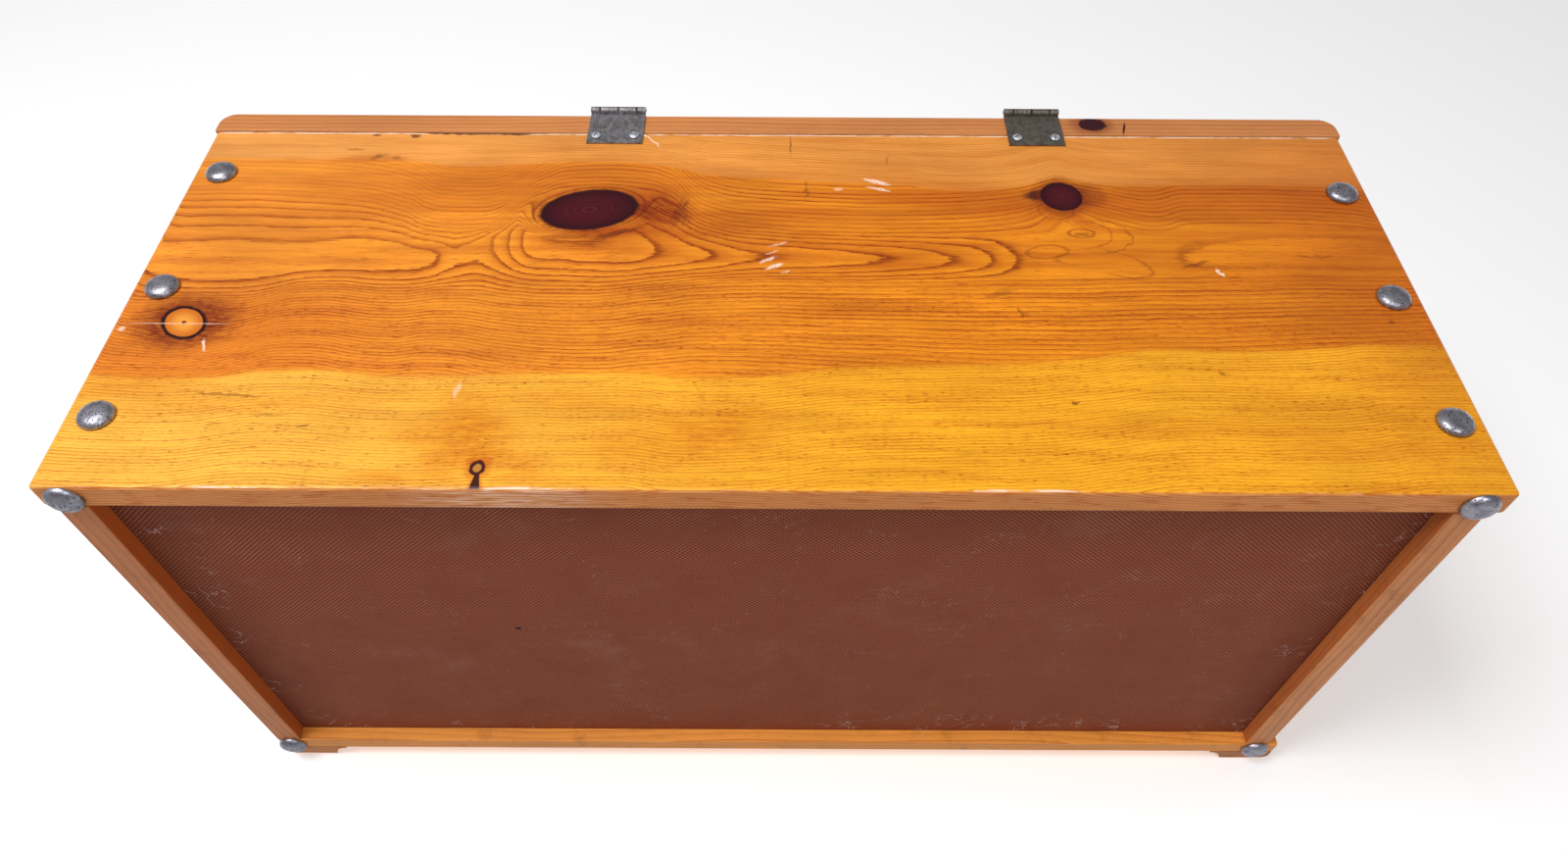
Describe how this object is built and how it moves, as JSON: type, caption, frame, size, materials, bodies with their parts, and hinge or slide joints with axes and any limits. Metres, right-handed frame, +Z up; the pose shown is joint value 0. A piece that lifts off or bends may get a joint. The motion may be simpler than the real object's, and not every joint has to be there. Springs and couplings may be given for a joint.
{
  "type": "toy box",
  "caption": "Low pine box with a full-width lid on butt hinges, a recessed hardboard bottom, and domed steel glides for feet and along the back.",
  "frame": {"origin": "middle of the bounding box, on the floor that the four feet stand on", "axes": "+X towards the right end as seen from the front, +Y towards the back with the hinges, +Z up"},
  "size_m": [0.818, 0.3906, 0.3464],
  "materials": {
    "pine": "old varnish, satin",
    "hardboard": "bare screen-textured face",
    "hinge_steel": "pitted and dull",
    "pin_steel": "dull",
    "screw_zinc": "zinc plated",
    "glide_steel": "worn nickel plate"
  },
  "bodies": {
    "box": {"back_board": "pine", "front_board": "pine", "side_board_left": "pine", "side_board_right": "pine", "front_stile_left": "pine", "front_stile_right": "pine", "bottom_panel": "hardboard", "foot_back_left": "glide_steel", "foot_back_right": "glide_steel", "foot_front_left": "glide_steel", "foot_front_right": "glide_steel", "back_stud_left_low": "glide_steel", "back_stud_left_middle": "glide_steel", "back_stud_left_high": "glide_steel", "back_stud_right_low": "glide_steel", "back_stud_right_middle": "glide_steel", "back_stud_right_high": "glide_steel", "hinge_left_back_leaf": "hinge_steel", "hinge_right_back_leaf": "hinge_steel", "hinge_left_pin": "pin_steel", "hinge_right_pin": "pin_steel", "hinge_left_back_screw_left": "screw_zinc", "hinge_left_back_screw_right": "screw_zinc", "hinge_right_back_screw_left": "screw_zinc", "hinge_right_back_screw_right": "screw_zinc"},
    "lid": {"lid_board": "pine", "hinge_left_lid_leaf": "hinge_steel", "hinge_right_lid_leaf": "hinge_steel", "hinge_left_lid_screw_left": "screw_zinc", "hinge_left_lid_screw_right": "screw_zinc", "hinge_right_lid_screw_left": "screw_zinc", "hinge_right_lid_screw_right": "screw_zinc"}
  },
  "joints": [
    {"name": "lid_hinge", "type": "hinge", "parent": "box", "child": "lid", "pos_m": [0, 0.1923, 0.3439], "axis": [-1, 0, 0], "range_deg": [0, 240]}
  ]
}
